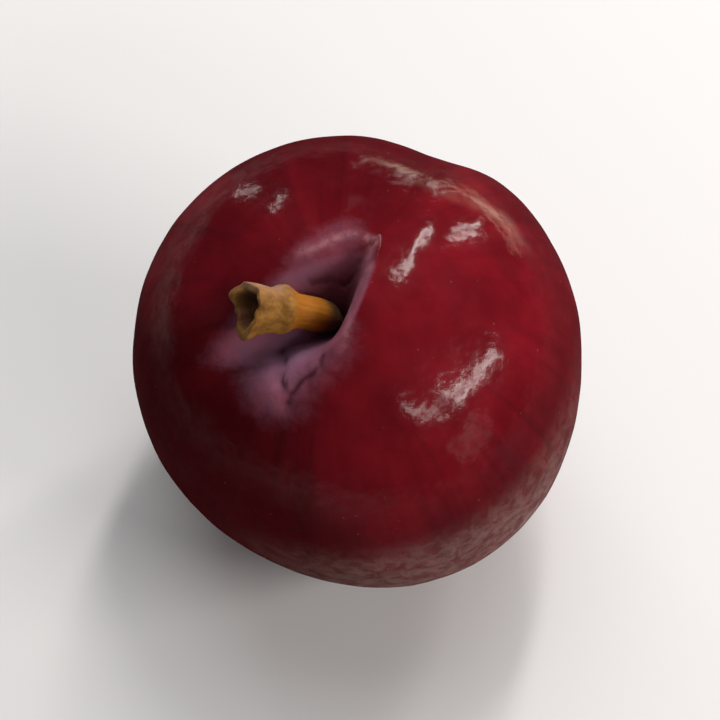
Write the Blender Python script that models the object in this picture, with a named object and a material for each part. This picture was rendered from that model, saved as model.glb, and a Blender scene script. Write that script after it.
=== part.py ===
"""A ripe plum with its stem, resting on the small flat spot that its own weight presses into it.

Two pieces: the fruit, which grew as one body, and the stem, whose root stands in the fruit's stem pit.
Metres, +Z up, origin at the middle of the flat spot. The fruit is worked out in a frame of its own,
whose Z runs out of the stem pit and whose X points at the suture, and is then leaned and turned
to the way it lies.
"""

import math

import bmesh
import bpy
from mathutils import Matrix, Vector

# Driving dimensions: metres for lengths, radians for angles.
FRUIT_WIDTH = 0.046
LEAN = math.radians(17.0)
SUTURE_AZIMUTH = math.radians(66.0)
PRESSED_DEPTH = 0.0008
STEM_REACH = 0.0073
STEM_RISE = 0.0067
STEM_SIDE = math.radians(118)
SHAFT_RADIUS = 0.00140

# Body: shares of the fruit's radius. Each lobe is (times round, amount, angle of its peak from the suture).
RADIUS = FRUIT_WIDTH / 2
SQUAT = 0.055
TAPER = 0.020
LOBES = (
    (2, 0.021, math.radians(61)),
    (3, 0.013, math.radians(-16)),
    (4, 0.008, math.radians(-34)),
)

# Suture: a shallow valley from the stem pit down one side to the blossom end, shallower low on the fruit.
SUTURE_DEPTH_AT_SHOULDER = 0.0010
SUTURE_DEPTH_BELOW = 0.00045
SUTURE_SHALLOWS_FROM = math.radians(60)
SUTURE_SHALLOWS_OVER = math.radians(80)
SUTURE_WIDTH = 0.0052
SUTURE_FADES_IN = math.radians(28)

# Stem pit: a hollow that is steep under the swollen cheek and slopes gently away under the stem.
# Where it starts to bend, its middle line curves away by BEND times the square of the distance, per metre.
PIT_DEPTH = 0.0077
PIT_ALONG = -0.0006
PIT_REACH_TO_SUTURE = 0.0051
PIT_REACH_FROM_SUTURE = 0.0063
PIT_REACH_GENTLE = 0.0066
PIT_REACH_STEEP = 0.00185
STEEP_POWER = 3.4
PIT_SKEW = 0.60
PIT_SOFTNESS = 0.0012
BEND_STARTS = -0.0024
BEND = 62.0

# Swollen cheek above the pit's steep wall.
CHEEK_HEIGHT = 0.0006
CHEEK_AWAY = 0.0068
CHEEK_SPREAD = 0.0040
CHEEK_LENGTH = 0.0090

# Blossom end: a shallow dent with the style's point in it.
DENT_DEPTH = 0.0005
DENT_RADIUS = 0.0030
POINT_HEIGHT = 0.0004
POINT_RADIUS = 0.0009

# Flat spot: how softly the skin turns from the flat into the round.
PRESSED_ROUNDING = 0.00020

# Mesh of the fruit.
COLUMNS = 96
RINGS = 52
COLUMN_CROWDING = 0.35
PIT_ANGLE = math.radians(32)
PIT_CROWDING = 2.4
PIT_CROWDING_ENDS = 0.5
PROFILE_STEPS = 1800
LEAN_STARTS = math.radians(60)
FLAT_WITHIN = 1e-8

# Stem: lengths along it are shares of its length, and radii are metres.
ROOT_GAP = 0.0006
ROOT_ALONG = -0.0011
ROOT_ASIDE = 0.0003
ROOT_RADIUS = 0.0006
ROOT_WIDENS_BY = 0.20
ROOT_LEVEL_FOR = 0.12
ARCH_REACH = 0.13
ARCH_RISE = 0.70
JOINT_AT = 0.70
JOINT_SWELL = 0.00062
JOINT_SPREAD = 0.085
FLARE_FROM = 0.66
FLARE_SWELL = 0.00080
CUP_DEPTH = 0.0011
CUP_RADIUS_SHARE = 0.75
OBLIQUE = 0.0010
STEM_LOBES = ((2, 0.07, 0.4), (3, 0.05, 1.9))
RIM_LOBES = ((2, 0.10, 0.2), (3, 0.12, 1.2), (5, 0.05, 2.6))
STEM_SIDES = 20
STEM_RINGS = 26
CUP_RINGS = 4

# Materials: linear colours, and roughnesses.
SKIN_COLOUR = (0.16, 0.008, 0.012)
SKIN_ROUGHNESS = 0.30
STEM_COLOUR = (0.18, 0.075, 0.016)
STEM_ROUGHNESS = 0.65


def clear_scene():
    for obj in list(bpy.data.objects):
        bpy.data.objects.remove(obj)


def finish(name, colour, roughness):
    """A plain material in linear colour."""
    made = bpy.data.materials.new(name)
    made.use_nodes = True
    shader = made.node_tree.nodes["Principled BSDF"]
    shader.inputs["Base Color"].default_value = (*colour, 1.0)
    shader.inputs["Roughness"].default_value = roughness
    shader.inputs["Metallic"].default_value = 0.0
    return made


def bell(value, width):
    """1 at zero, falling smoothly to 0 beyond about two widths."""
    return math.exp(-((value / width) ** 2))


def eased(value):
    """0 up to value 0, 1 from value 1, and smooth between them."""
    share = min(1.0, max(0.0, value))
    return share * share * (3 - 2 * share)


def softly_positive(value, softness):
    """The value itself where it is well above zero, 0 well below, and smooth between them."""
    return (value + math.hypot(value, softness)) / 2


def turn_between(angle, other):
    """The smallest turn from one angle to another, from -pi to pi."""
    return math.remainder(angle - other, 2 * math.pi)


def lobed(angle, lobes):
    return 1 + sum(amount * math.cos(times * (angle - peak)) for times, amount, peak in lobes)


def body_radius(polar, azimuth):
    """The fruit without its pit, suture and blossom end: squat, lobed and a little narrower below."""
    squatness = 1 - SQUAT * math.cos(polar) ** 2 + TAPER * math.cos(polar) * math.sin(polar) ** 2
    roundness = 1 + (lobed(azimuth, LOBES) - 1) * math.sin(polar) ** 2
    return RADIUS * squatness * roundness


def pit_depth(along, aside):
    """Along runs over the skin from the stem's axis to the suture, and aside runs to the gentle slope."""
    aside -= BEND * min(0.0, along - BEND_STARTS) ** 2
    along += PIT_SKEW * softly_positive(aside, PIT_SOFTNESS) - PIT_ALONG
    reach = PIT_REACH_TO_SUTURE if along > 0 else PIT_REACH_FROM_SUTURE
    depth = PIT_DEPTH * bell(along, reach)
    if aside > 0:
        return depth * bell(aside, PIT_REACH_GENTLE)
    return depth * math.exp(-((-aside / PIT_REACH_STEEP) ** STEEP_POWER))


def cheek_height(along, aside):
    return CHEEK_HEIGHT * bell(along, CHEEK_LENGTH) * bell(aside + CHEEK_AWAY, CHEEK_SPREAD)


def suture_depth(polar, azimuth):
    across = RADIUS * math.sin(polar) * turn_between(azimuth, 0.0)
    below = eased((polar - SUTURE_SHALLOWS_FROM) / SUTURE_SHALLOWS_OVER)
    depth = SUTURE_DEPTH_AT_SHOULDER + (SUTURE_DEPTH_BELOW - SUTURE_DEPTH_AT_SHOULDER) * below
    return depth * eased(polar / SUTURE_FADES_IN) * bell(across, SUTURE_WIDTH)


def blossom_end(polar):
    distance = RADIUS * (math.pi - polar)
    return POINT_HEIGHT * bell(distance, POINT_RADIUS) - DENT_DEPTH * bell(distance, DENT_RADIUS)


def fruit_radius(polar, azimuth):
    """From the fruit's middle to its skin, before the flat spot is pressed into it."""
    along = RADIUS * polar * math.cos(azimuth)
    aside = RADIUS * polar * math.sin(azimuth)
    raised = cheek_height(along, aside) + blossom_end(polar)
    sunk = pit_depth(along, aside) + suture_depth(polar, azimuth)
    return body_radius(polar, azimuth) + raised - sunk


def polar_of(direction):
    return math.acos(max(-1.0, min(1.0, direction.z))), math.atan2(direction.y, direction.x)


def leaned(direction, lean):
    """A direction in the fruit's own frame, turned so that its underside swings away from the suture."""
    return Matrix.Rotation(lean, 3, "Y") @ direction


DOWN = leaned(Vector((0, 0, -1)), LEAN)
MIDDLE_HEIGHT = fruit_radius(*polar_of(DOWN)) - PRESSED_DEPTH


def to_row():
    """From the fruit's own frame to the way it lies."""
    lying = Matrix.Rotation(-LEAN, 4, "Y")
    turned = Matrix.Rotation(SUTURE_AZIMUTH, 4, "Z")
    return Matrix.Translation((0, 0, MIDDLE_HEIGHT)) @ turned @ lying


def pressed(radius, downwards):
    """The radius once the surface below flattens the skin; downwards is the direction's share towards it."""
    if downwards <= 0:
        return radius
    to_surface = MIDDLE_HEIGHT / downwards
    blend = min(1.0, max(0.0, 0.5 + 0.5 * (radius - to_surface) / PRESSED_ROUNDING))
    rounded = radius + (to_surface - radius) * blend
    return rounded - PRESSED_ROUNDING * blend * (1 - blend)


def ring_angles():
    """Polar angles of the rings, evenly spaced along the skin but closer together in the pit."""
    turn = math.pi / PROFILE_STEPS
    efforts = [0.0]
    before = fruit_radius(0.0, STEM_SIDE)
    for step in range(1, PROFILE_STEPS + 1):
        polar = step * turn
        radius = fruit_radius(polar, STEM_SIDE)
        length = math.hypot(radius - before, radius * turn)
        beyond_pit = eased(polar / PIT_ANGLE - PIT_CROWDING_ENDS)
        crowding = 1 + (PIT_CROWDING - 1) * (1 - beyond_pit)
        efforts.append(efforts[-1] + length * crowding)
        before = radius
    angles = []
    step = 0
    for ring in range(1, RINGS):
        wanted = efforts[-1] * ring / RINGS
        while efforts[step] < wanted:
            step += 1
        angles.append(step * turn)
    return angles


def skin_point(ring_angle, column_angle):
    """A point of the fruit. The rings are square to the stem's axis above and level at the flat spot."""
    lean = LEAN * eased((ring_angle - LEAN_STARTS) / (math.pi - LEAN_STARTS))
    flat_ring = Vector(
        (
            math.sin(ring_angle) * math.cos(column_angle),
            math.sin(ring_angle) * math.sin(column_angle),
            math.cos(ring_angle),
        )
    )
    direction = leaned(flat_ring, lean)
    radius = pressed(fruit_radius(*polar_of(direction)), direction.dot(DOWN))
    point = to_row() @ (direction * radius)
    if abs(point.z) < FLAT_WITHIN:
        point.z = 0.0
    return point


def capped_tube(name, rings, first, last):
    """A closed mesh from rings of points, listed in turn, and a point at each end."""
    shape = bmesh.new()
    first_vert = shape.verts.new(first)
    last_vert = shape.verts.new(last)
    verts = [[shape.verts.new(point) for point in ring] for ring in rings]
    sides = len(rings[0])
    for side in range(sides):
        after = (side + 1) % sides
        shape.faces.new((first_vert, verts[0][side], verts[0][after]))
        shape.faces.new((last_vert, verts[-1][after], verts[-1][side]))
        for ring, below in zip(verts, verts[1:]):
            shape.faces.new((ring[side], below[side], below[after], ring[after]))
    bmesh.ops.recalc_face_normals(shape, faces=shape.faces)
    mesh = bpy.data.meshes.new(name)
    shape.to_mesh(mesh)
    shape.free()
    mesh.shade_smooth()
    obj = bpy.data.objects.new(name, mesh)
    bpy.context.scene.collection.objects.link(obj)
    return obj


def column_angles():
    """Angles round the stem's axis, closer together along the suture's line."""
    even = [2 * math.pi * column / COLUMNS for column in range(COLUMNS)]
    return [angle - COLUMN_CROWDING * math.sin(2 * angle) / 2 for angle in even]


def make_fruit():
    columns = column_angles()
    rings = [[skin_point(ring, column) for column in columns] for ring in ring_angles()]
    top = skin_point(0.0, 0.0)
    fruit = capped_tube("fruit", rings, top, skin_point(math.pi, 0.0))
    fruit.data.materials.append(finish("plum_skin", SKIN_COLOUR, SKIN_ROUGHNESS))
    return fruit


def stem_path(share):
    """A point of the stem's centre line, in the fruit's own frame, and the way that it runs there."""
    side = Vector((math.cos(STEM_SIDE), math.sin(STEM_SIDE), 0))
    root = Vector((ROOT_ALONG, ROOT_ASIDE, fruit_radius(0.0, 0.0) + ROOT_GAP))
    tip = root + side * STEM_REACH + Vector((0, 0, STEM_RISE))
    arch = root + side * (ARCH_REACH * STEM_REACH) + Vector((0, 0, ARCH_RISE * STEM_RISE))
    point = root * (1 - share) ** 2 + arch * (2 * share * (1 - share)) + tip * share**2
    way = (arch - root) * (1 - share) + (tip - arch) * share
    return point, way.normalized()


def stem_radius(share):
    """Shaft with a narrow root, a joint part-way along and a flared end."""
    shaft = ROOT_RADIUS + (SHAFT_RADIUS - ROOT_RADIUS) * eased(share / ROOT_WIDENS_BY)
    joint = JOINT_SWELL * bell(share - JOINT_AT, JOINT_SPREAD)
    flare = FLARE_SWELL * eased((share - FLARE_FROM) / (1 - FLARE_FROM))
    return shaft + joint + flare


def stem_ring(share, radius, sunk=0.0):
    """The points round the stem at that share of its length, lobed and cut aslant at the flared end."""
    point, way = stem_path(share)
    upright = Vector((0, 0, 1))
    across = way.cross(upright).normalized()
    sloping = 1 - bell(share, ROOT_LEVEL_FOR)
    way_here = upright.lerp(way, sloping).normalized()
    over = across.cross(way_here).normalized()
    flared = eased((share - FLARE_FROM) / (1 - FLARE_FROM))
    ring = []
    for side in range(STEM_SIDES):
        angle = 2 * math.pi * side / STEM_SIDES
        lobes = lobed(angle, STEM_LOBES) + flared * (lobed(angle, RIM_LOBES) - 1)
        outward = across * math.cos(angle) + over * math.sin(angle)
        slant = -flared * OBLIQUE * math.sin(angle)
        ring.append(point + outward * (radius * lobes) + way * (slant - sunk))
    return ring


def make_stem():
    shares = [ring / (STEM_RINGS - 1) for ring in range(STEM_RINGS)]
    rings = [stem_ring(share, stem_radius(share)) for share in shares]
    rim = stem_radius(1.0)
    for ring in range(1, CUP_RINGS + 1):
        inwards = ring / CUP_RINGS
        sunk = CUP_DEPTH * eased(inwards)
        rings.append(stem_ring(1.0, rim * (1 - CUP_RADIUS_SHARE * inwards), sunk))
    root, _ = stem_path(0.0)
    tip, way = stem_path(1.0)
    placed = to_row()
    rings = [[placed @ point for point in ring] for ring in rings]
    stem = capped_tube("stem", rings, placed @ root, placed @ (tip - way * CUP_DEPTH))
    stem.data.materials.append(finish("woody_stem", STEM_COLOUR, STEM_ROUGHNESS))
    return stem


clear_scene()
make_fruit()
make_stem()
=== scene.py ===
"""Looks of a ripe plum and its stem: fine skin, bloom and bark, on a pale floor in soft light.

Metres. The fruit and the stem follow the same rules of form as the solids that they stand for, with
a finer mesh and a low relief. Both are worked out in the fruit's own frame, whose Z runs out of the
stem pit and whose X points at the suture.
"""

import math

import bpy
import numpy as np
from mathutils import Matrix, Vector, noise


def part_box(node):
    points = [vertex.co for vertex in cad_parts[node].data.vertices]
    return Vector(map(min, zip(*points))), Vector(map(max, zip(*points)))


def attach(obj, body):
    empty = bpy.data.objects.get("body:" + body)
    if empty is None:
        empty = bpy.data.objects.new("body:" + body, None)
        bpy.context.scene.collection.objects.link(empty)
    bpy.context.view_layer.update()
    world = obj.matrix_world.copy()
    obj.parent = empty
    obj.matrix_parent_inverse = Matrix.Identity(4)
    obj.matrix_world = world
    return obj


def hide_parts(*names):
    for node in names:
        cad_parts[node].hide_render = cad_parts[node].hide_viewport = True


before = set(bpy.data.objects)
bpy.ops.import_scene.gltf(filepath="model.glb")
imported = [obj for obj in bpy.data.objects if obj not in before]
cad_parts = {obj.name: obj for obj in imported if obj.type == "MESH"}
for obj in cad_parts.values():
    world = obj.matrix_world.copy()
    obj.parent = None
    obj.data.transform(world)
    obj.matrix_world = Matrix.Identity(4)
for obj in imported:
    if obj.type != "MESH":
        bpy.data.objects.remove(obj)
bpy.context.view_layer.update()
MM = 0.001

# The fruit's size, from the frame.
fruit_low, fruit_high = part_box("fruit")
RADIUS = (fruit_high[1] - fruit_low[1]) / 2

# How the fruit lies. PRESSED_FROM is the least downward share of a direction where skin can flatten.
LEAN = math.radians(17.0)
SUTURE_AZIMUTH = math.radians(66.0)
PRESSED_DEPTH = 0.8 * MM
PRESSED_ROUNDING = 0.2 * MM
PRESSED_FROM = 0.5

# Body: shares of the fruit's radius. Each lobe is (times round, amount, angle of its peak).
SQUAT = 0.055
TAPER = 0.020
LOBES = (
    (2, 0.021, math.radians(61)),
    (3, 0.013, math.radians(-16)),
    (4, 0.008, math.radians(-34)),
)

# Suture, and the fine dark line along its bottom.
SUTURE_DEPTH_AT_SHOULDER = 1.0 * MM
SUTURE_DEPTH_BELOW = 0.45 * MM
SUTURE_SHALLOWS_FROM = math.radians(60)
SUTURE_SHALLOWS_OVER = math.radians(80)
SUTURE_WIDTH = 5.2 * MM
SUTURE_FADES_IN = math.radians(28)
SEAM_WIDTH = 1.1 * MM

# Stem pit, and the swollen cheek above its steep wall.
PIT_DEPTH = 7.7 * MM
PIT_ALONG = -0.6 * MM
PIT_REACH_TO_SUTURE = 5.1 * MM
PIT_REACH_FROM_SUTURE = 6.3 * MM
PIT_REACH_GENTLE = 6.6 * MM
PIT_REACH_STEEP = 1.85 * MM
STEEP_POWER = 3.4
PIT_SKEW = 0.60
PIT_SOFTNESS = 1.2 * MM
BEND_STARTS = -2.4 * MM
BEND = 62.0
CHEEK_HEIGHT = 0.6 * MM
CHEEK_AWAY = 6.8 * MM
CHEEK_SPREAD = 4.0 * MM
CHEEK_LENGTH = 9.0 * MM

# Painted shade at the bottom of the pit, as shares of its depth.
PIT_SHADE_FROM = 0.77
PIT_SHADE_OVER = 0.20

# Blossom end.
DENT_DEPTH = 0.5 * MM
DENT_RADIUS = 3.0 * MM
POINT_HEIGHT = 0.4 * MM
POINT_RADIUS = 0.9 * MM

# Fine mesh of the fruit.
COLUMNS = 352
RINGS = 256
COLUMN_CROWDING = 0.35
PIT_ANGLE = math.radians(32)
PIT_CROWDING = 2.2
PIT_CROWDING_ENDS = 0.5
PROFILE_POINTS = 3601
LEAN_STARTS = math.radians(60)

# Relief of the skin, as (height, size of a swell).
SWELLS = (
    (0.090 * MM, 9.0 * MM),
    (0.085 * MM, 4.8 * MM),
    (0.046 * MM, 2.6 * MM),
)

# Size of the waves in a line that wavers, and steps in space to noises of their own.
WAVE_SIZE = 1.6 * MM
SECOND_NOISE = 0.05
THIRD_NOISE = 0.09

# Creases in and beside the pit: millimetres towards the suture, and square to that.
CREASES = (
    ((-7.3, 4.7), (-8.5, 2.8), (-10.2, 1.8), (-11.2, 0.5), (-12.0, 0.3)),
    ((-6.5, -1.6), (-7.4, -1.5), (-8.8, -0.9), (-9.9, -0.1), (-11.2, 0.5)),
    ((1.2, 3.6), (2.2, 2.2), (2.8, 0.4)),
    ((3.2, 0.1), (4.2, -0.4), (5.2, -0.9)),
)
CREASE_DEPTH = 0.20 * MM
CREASE_WIDTH = 0.34 * MM
CREASE_WAVERS = 0.45 * MM
CREASE_EVENNESS = 0.75
CREASE_UNEVENNESS = 1.1
CREASE_PATCHES = 1.1 * MM

# Wide folds under the first two creases, which meet in a notch below the pit.
FOLDS = CREASES[:2]
FOLD_DEPTH = 0.34 * MM
FOLD_WIDTH = 0.95 * MM

# Where the powdery bloom is left: millimetres along, millimetres aside, and how far it reaches there.
BLOOM_LINE = (
    (-2.0, 1.5, 3.6),
    (-5.0, 0.2, 4.5),
    (-8.2, 2.4, 4.9),
    (-9.9, 2.2, 4.7),
)
BLOOM_AT_FAR_RIM = (
    (1.5, 4.8, 1.8),
    (4.0, 3.3, 2.3),
    (6.6, 1.2, 2.3),
)
BLOOM_LINE_AMOUNT = 0.80
BLOOM_AT_FAR_RIM_AMOUNT = 0.56

# Bloom fades beside those lines over shares of its reach, and in the pit with its depth, though it
# reaches further up the steep wall by the last factor.
BLOOM_FADES_FROM = 0.20
BLOOM_FADES_OVER = 1.35
PIT_BLOOM_FROM = 0.05
PIT_BLOOM_OVER = 0.25
PIT_BLOOM_ON_STEEP_WALL = 1.45

# Rim of the pit, where the bloom is thickest and a painted highlight runs along its crest: millimetres
# along, millimetres aside, and how thick.
PIT_RIM = (
    (2.0, 5.8, 0.0), (3.0, 4.9, 0.7), (4.1, 3.8, 0.9), (6.1, 2.2, 1.0), (7.3, 0.4, 1.0),
    (7.2, -1.4, 1.0), (3.9, -2.0, 0.9), (-0.5, -2.1, 0.9), (-3.6, -3.0, 0.7), (-6.0, -3.2, 0.0),
)
PIT_RIM_WIDTH = 0.45 * MM
PIT_RIM_WAVERS = 0.35 * MM

# Where the bloom is bluest, with painted light that lifts the stem's shadow, just below the stem's free
# end.
BLUE_ALONG = -7.6 * MM
BLUE_ASIDE = 3.1 * MM
BLUE_REACH = 3.2 * MM

# Painted shade on the skin, away from the middle of the bright cheek, deepest on the shoulder beyond the
# pit and lifted on the shoulder that stays lit. Cosines of the angle to each say where it starts to
# change and over how much.
CHEEK_POLAR = math.radians(50)
CHEEK_AZIMUTH = math.radians(-78)
AWAY_FROM = 0.90
AWAY_OVER = 0.82
SHADED_SHOULDER_POLAR = math.radians(58)
SHADED_SHOULDER_AZIMUTH = math.radians(22)
SHADED_SHOULDER_FROM = 0.70
SHADED_SHOULDER_OVER = 0.28
SHADED_SHOULDER_AMOUNT = 0.85
LIT_SHOULDER_POLAR = math.radians(42)
LIT_SHOULDER_AZIMUTH = math.radians(84)
LIT_SHOULDER_FROM = 0.80
LIT_SHOULDER_OVER = 0.19
LIT_SHOULDER_AMOUNT = 0.68

# Painted shade on the flank, from its upper edge down to where it is full.
FLANK_SHADE_FROM = math.radians(44)
FLANK_SHADE_OVER = math.radians(30)
FLANK_SHADE_AMOUNT = 0.70

# Where the shoulder beyond the pit is dulled by old bloom.
DULL_ALONG = 10.0 * MM
DULL_ASIDE = 2.4 * MM
DULL_REACH = 4.0 * MM

# Thin greyish film low on the cheek's side, partly a painted reflection of the pale floor, from its upper
# edge down to where it has faded.
FILM_FROM = math.radians(61)
FILM_OVER = math.radians(20)
FILM_FADES_FROM = math.radians(90)
FILM_FADES_OVER = math.radians(44)
FILM_AZIMUTH = math.radians(-132)
FILM_LENGTH = math.radians(46)

# Film along the far shoulder, partly a painted reflection of the bright horizon: millimetres along,
# millimetres aside, and how thick.
SHOULDER_FILM_SHEEN = (
    (19.0, 4.2, 0.2), (19.0, 1.5, 0.8), (18.0, -1.4, 1.0), (16.7, -5.8, 1.0),
    (16.9, -9.4, 1.0), (17.6, -12.4, 1.0), (16.0, -15.5, 0.8), (14.3, -17.5, 0.0),
)
SHOULDER_FILM_SHEEN_WIDTH = 1.3 * MM
SHOULDER_FILM_SHEEN_AMOUNT = 0.60

# Stem: lengths along it are shares of its length.
STEM_REACH = 7.3 * MM
STEM_RISE = 6.7 * MM
STEM_SIDE = math.radians(118)
ROOT_GAP = 0.6 * MM
ROOT_ALONG = -1.1 * MM
ROOT_ASIDE = 0.3 * MM
ROOT_SINKS = 1.6 * MM
ROOT_SPREADS_BY = 0.35
ROOT_RADIUS = 0.95 * MM
SHAFT_RADIUS = 1.50 * MM
ROOT_WIDENS_BY = 0.20
ROOT_LEVEL_FOR = 0.12
ARCH_REACH = 0.13
ARCH_RISE = 0.70
JOINT_AT = 0.70
JOINT_SWELL = 0.60 * MM
JOINT_SPREAD = 0.085
FLARE_FROM = 0.66
FLARE_SWELL = 0.78 * MM
OBLIQUE = 1.0 * MM
CUP_DEPTH = 1.3 * MM
CUP_RADIUS_SHARE = 0.90
STEM_LOBES = ((2, 0.07, 0.4), (3, 0.05, 1.9))
RIM_LOBES = ((2, 0.06, 0.2), (3, 0.06, 1.2), (5, 0.04, 2.6))
LUMPS_FROM = 0.55
LUMPS_OVER = 0.12
FIBRES_HEIGHT = 0.050 * MM
FINE_FIBRES_HEIGHT = 0.028 * MM
LUMPS_HEIGHT = 0.17 * MM
FINE_LUMPS_HEIGHT = 0.08 * MM

# Noises of the bark's relief: how fine round the stem, how fine along it, and a seed.
FIBRES = (3.6, 1.6, 3.0)
FINE_FIBRES = (8.5, 4.0, 11.0)
LUMPS = (1.7, 9.0, 5.0)
FINE_LUMPS = (3.8, 20.0, 8.0)
TORN = (1.9, 1.0, 2.0)
CUP_GRAIN = (2.6, 5.0, 14.0)

# Torn rim of the stem: a spur and a tip that stand out, and a far side that is worn back.
SPUR_ANGLE = math.radians(328)
SPUR_SPREAD = math.radians(21)
SPUR_OUTWARD = 0.28 * MM
SPUR_FORWARD = 0.85 * MM
TIP_ANGLE = math.radians(196)
TIP_SPREAD = math.radians(26)
TIP_OUTWARD = 0.22 * MM
FLAKES_ANGLE = math.radians(24)
FLAKES_SPREAD = math.radians(44)
FLAKES_FROM = 0.64
FLAKES_OVER = 0.14
FLAKES_WITHIN = 0.2
FAR_RIM_ANGLE = math.radians(266)
FAR_RIM_SPREAD = math.radians(46)
FAR_RIM_INWARD = 0.30 * MM
FAR_RIM_BACK = 0.40 * MM
# Painted shade on the far side of the rim, from where it starts along the stem to where it is full.
FAR_RIM_SHADE_FROM = 0.80
FAR_RIM_SHADE_OVER = 0.15
RIM_POWER = 3
TORN_POWER = 4
TORN_HEIGHT = 0.34 * MM
CUP_ROUGHNESS = 0.12 * MM

# How the rim's forms change with the share of the way into the hollow.
SLANT_LEVELS_BY = 0.35
TORN_FADES_BY = 1.4
CUP_SINKS_FROM = 0.28
CUP_SINKS_OVER = 0.36
CUP_GRAIN_GROWS_BY = 4

# Fine mesh of the stem.
STEM_SIDES = 84
STEM_RINGS = 110
ROOT_RINGS = 8
CUP_RINGS = 16

# Colours of the skin, its pores, its bloom and its marks.
CRIMSON = (0.172, 0.0060, 0.0114)
MAROON = (0.113, 0.0040, 0.0078)
# Wine is also the painted shade on the side away from the bright cheek.
WINE = (0.050, 0.0026, 0.0048)
PORE = (0.36, 0.12, 0.08)
PORE_SPACING = 1.4 * MM
POWDER_PINK = (0.265, 0.080, 0.120)
POWDER_MAUVE = (0.215, 0.084, 0.130)
# Bluish bloom, with painted light that lifts the stem's shadow below its free end.
LIT_POWDER_BLUE = (0.310, 0.182, 0.290)
# Pale powder on the pit's rim, partly a painted highlight along its crest.
PALE_POWDER_AND_HIGHLIGHT = (0.42, 0.185, 0.215)
# Greyish film, partly a painted reflection of the floor and horizon.
FILM_SHEEN = (0.42, 0.27, 0.205)
FILM_SHEEN_AMOUNT = 0.19
# Painted shade at the bottom of the pit.
PIT_BOTTOM_SHADE = (0.020, 0.007, 0.008)
# Painted shade in the creases.
CREASE_SHADE = (0.030, 0.008, 0.012)

# Thin waxy coat on the skin, and what is left of it under bloom.
COAT_WEIGHT = 0.145
COAT_UNDER_BLOOM = 0.02
COAT_ROUGHNESS = 0.13
COAT_IOR = 2.0
COAT_ON_FILM = 0.27

# Colours of the bark.
SHAFT_DEEP = (0.290, 0.092, 0.005)
SHAFT_PALE = (0.335, 0.122, 0.007)
COLLAR_DEEP = (0.185, 0.075, 0.010)
COLLAR_PALE = (0.285, 0.130, 0.020)
# Painted shade on the root, where it goes down into the pit.
ROOT_SHADE = (0.050, 0.024, 0.008)
FLAKE = (0.330, 0.175, 0.095)
HOLLOW = (0.085, 0.030, 0.009)
CRACK = (0.060, 0.024, 0.008)

# Camera, at the photograph's viewing angle: looking along +Y and, in degrees, this far down.
CAMERA_ELEVATION = 57
CAMERA_DISTANCE = 0.200
CAMERA_CLIP_START = 0.01
VIEW_WIDTH = 0.0735

# Colours of the light.
WARM_WHITE = (1.0, 0.94, 0.91)
TAN = (1.0, 0.74, 0.55)
COOL_WHITE = (0.95, 0.98, 1.0)
PURE_WHITE = (1.0, 1.0, 1.0, 1.0)
WORLD_STRENGTH = 0.07

# Lights that the skin mirrors: name, azimuth, elevation, (width, height), watts, colour and roll.
# Angles are in degrees, as from_direction takes them.
WINDOW_DISTANCE = 0.60
WINDOWS = (
    ("tall_window", 163, 54, (0.050, 0.30), 1.40, WARM_WHITE, 0),
    ("low_window", 139, 27, (0.050, 0.22), 0.85, WARM_WHITE, 0),
    ("long_window", 69, 29, (0.36, 0.075), 2.10, WARM_WHITE, -16),
    ("long_window_end", 34, 33, (0.20, 0.050), 0.42, WARM_WHITE, -8),
    ("low_front", 52, 8, (0.22, 0.12), 0.13, WARM_WHITE, 0),
    ("back_high", 170, 9, (0.03, 0.10), 0.05, WARM_WHITE, 0),
    ("back_left", -151, 3, (0.018, 0.16), 0.12, WARM_WHITE, 0),
    ("back_left_high", -152, 26, (0.02, 0.08), 0.12, WARM_WHITE, 0),
    ("horizon", 148, 3, (0.52, 0.08), 0.80, TAN, 0),
)

# Broad light from above and behind, which the skin doesn't mirror.
OVERHEAD_AZIMUTH = 178
OVERHEAD_ELEVATION = 60
OVERHEAD_DISTANCE = 0.80
OVERHEAD_SIZE = (0.80, 0.80)
OVERHEAD_WATTS = 3.5


def bell(value, width):
    """1 at zero, falling smoothly to 0 beyond about two widths."""
    return np.exp(-((value / width) ** 2))


def eased(value):
    """0 up to value 0, 1 from value 1, and smooth between them."""
    share = np.clip(value, 0.0, 1.0)
    return share * share * (3 - 2 * share)


def softly_positive(value, softness):
    """The value where it is positive and 0 where it is negative, with a soft bend between."""
    return (value + np.hypot(value, softness)) / 2


def lobed(angle, lobes):
    """A factor near 1 that rises and falls round the turn."""
    return 1 + sum(amount * np.cos(times * (angle - peak)) for times, amount, peak in lobes)


def turned(angle, other):
    """The turn from one angle to another, from -pi to pi."""
    return (angle - other + math.pi) % (2 * math.pi) - math.pi


# Form of the fruit

def body_radius(polar, azimuth):
    """Squat, lopsided body without its pit, cheek and suture."""
    squatness = 1 - SQUAT * np.cos(polar) ** 2 + TAPER * np.cos(polar) * np.sin(polar) ** 2
    roundness = 1 + (lobed(azimuth, LOBES) - 1) * np.sin(polar) ** 2
    return RADIUS * squatness * roundness


def pit_share(along, aside, wider=1.0, steep_wider=1.0):
    """How deep in the pit, from 0 to 1, with each reach made wider by that factor."""
    aside = aside - BEND * np.minimum(0.0, along - BEND_STARTS) ** 2
    along = along + PIT_SKEW * softly_positive(aside, PIT_SOFTNESS) - PIT_ALONG
    reach = np.where(along > 0, PIT_REACH_TO_SUTURE, PIT_REACH_FROM_SUTURE) * wider
    gentle = bell(aside, PIT_REACH_GENTLE * wider)
    steep = np.exp(-((np.maximum(-aside, 0) / (PIT_REACH_STEEP * steep_wider)) ** STEEP_POWER))
    return bell(along, reach) * np.where(aside > 0, gentle, steep)


def cheek_height(along, aside):
    return CHEEK_HEIGHT * bell(along, CHEEK_LENGTH) * bell(aside + CHEEK_AWAY, CHEEK_SPREAD)


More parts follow.
